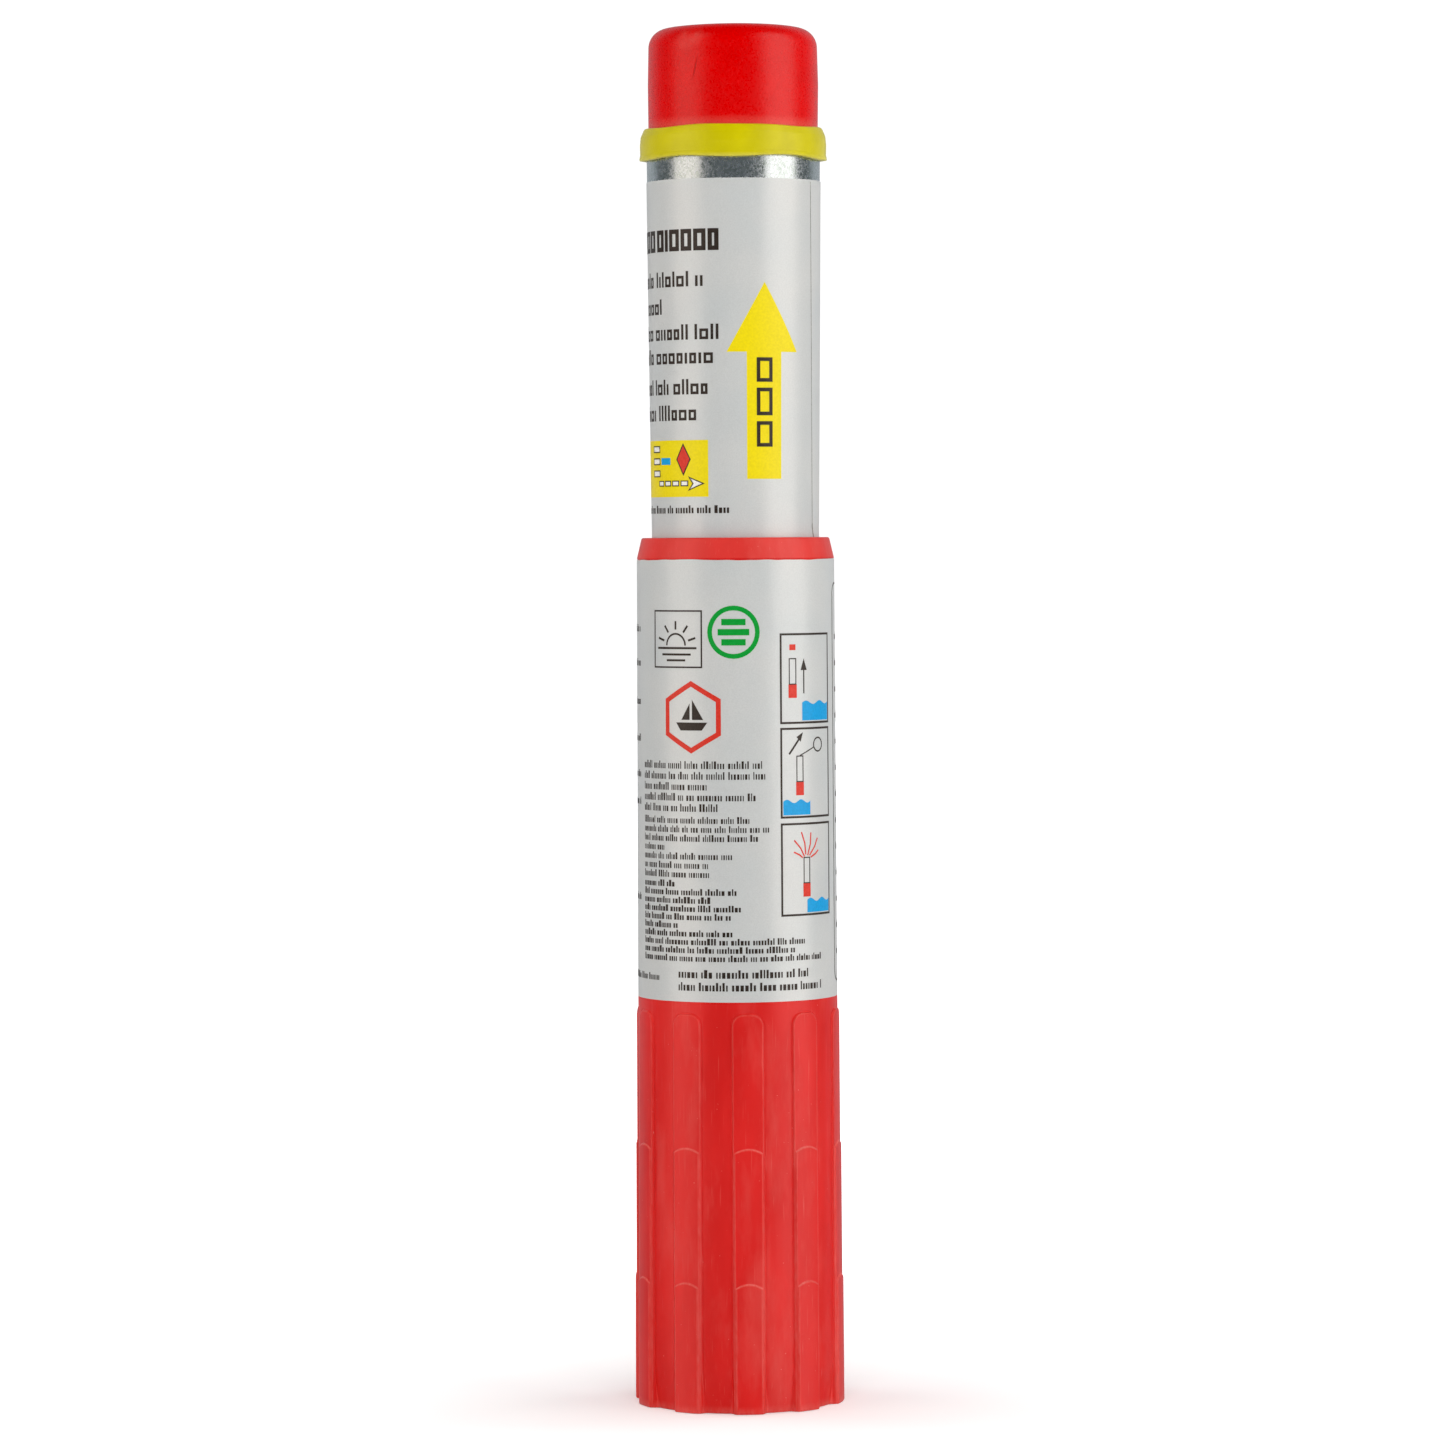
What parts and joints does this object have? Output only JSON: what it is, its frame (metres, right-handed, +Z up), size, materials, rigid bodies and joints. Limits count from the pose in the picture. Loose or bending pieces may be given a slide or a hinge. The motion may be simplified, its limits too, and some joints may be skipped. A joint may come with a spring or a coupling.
{
  "type": "hand flare",
  "caption": "Hand-held distress flare: tapered steel case with push-on cap, soft sealing band and pull igniter, in a ribbed plastic handle.",
  "frame": {"origin": "centre of the handle's base, on the surface the flare stands on", "axes": "+Z up the flare's axis, towards the cap; -Y is the front of the labels, +X is to its right"},
  "size_m": [0.04, 0.0402, 0.2623],
  "materials": {
    "handle_red": "satin",
    "silver_film": "satin",
    "zinc_steel": "satin",
    "clay": "matte",
    "liner_paper": "matte",
    "flare_composition": "matte",
    "first_fire_mix": "matte",
    "felt": "matte",
    "card": "matte",
    "foil": "satin",
    "brass": "satin",
    "friction_mix": "matte",
    "igniter_steel": "satin",
    "cap_red": "satin",
    "band_yellow": "satin"
  },
  "bodies": {
    "flare": {"handle": "handle_red", "handle_end_plug": "handle_red", "handle_label": "silver_film", "case_tube": "zinc_steel", "case_base_disc": "zinc_steel", "case_label": "silver_film", "base_plug": "clay", "liner_tube": "liner_paper", "composition_1": "flare_composition", "composition_2": "flare_composition", "composition_3": "flare_composition", "first_fire": "first_fire_mix", "retaining_wad": "felt", "closure_washer": "card", "foil_disc": "foil", "igniter_tube": "brass", "friction_bead": "friction_mix"},
    "cap": {"cap": "cap_red"},
    "band": {"sealing_band": "band_yellow"},
    "igniter_wire": {"pull_wire": "igniter_steel"},
    "ring": {"pull_ring": "igniter_steel"}
  },
  "joints": [
    {"name": "cap_lift", "type": "slide", "parent": "flare", "child": "cap", "axis": [0, 0, 1], "range_m": [0, 0.06]},
    {"name": "band_lift", "type": "slide", "parent": "flare", "child": "band", "axis": [0, 0, 1], "range_m": [0, 0.045]},
    {"name": "igniter_pull", "type": "slide", "parent": "flare", "child": "igniter_wire", "axis": [0, 0, 1], "range_m": [0, 0.012]},
    {"name": "ring_swing", "type": "hinge", "parent": "igniter_wire", "child": "ring", "pos_m": [-0.00928, 0, 0.22874], "axis": [0, -1, 0], "range_deg": [0, 90]}
  ]
}
